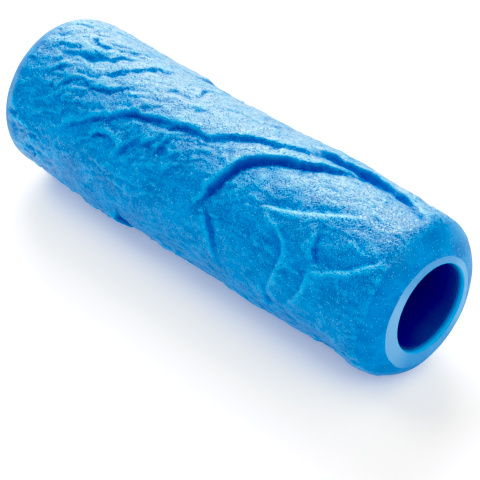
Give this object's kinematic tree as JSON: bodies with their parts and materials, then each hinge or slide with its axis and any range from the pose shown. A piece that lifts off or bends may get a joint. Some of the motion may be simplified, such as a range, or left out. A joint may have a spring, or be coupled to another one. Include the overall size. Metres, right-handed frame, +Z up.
{
  "type": "textured pattern roller sleeve",
  "caption": "Slip-on roller sleeve with a stone-cleft relief all round, smooth collars and a straight bore for a roller cage.",
  "frame": {"origin": "middle of the bore, half way between the two end faces", "axes": "+X along the bore to the right-hand end, which has the shorter smooth collar; +Z up as the sleeve lies on its side; +Y to the back"},
  "size_m": [0.2286, 0.0728, 0.0737],
  "materials": {
    "cast_polyurethane": "satin azure blue cast polyurethane with a fine sandy grain on the relief",
    "core_plastic": "smooth satin dark blue plastic"
  },
  "bodies": {
    "root": {"relief_cover": "cast_polyurethane", "core_tube": "core_plastic"}
  },
  "joints": []
}
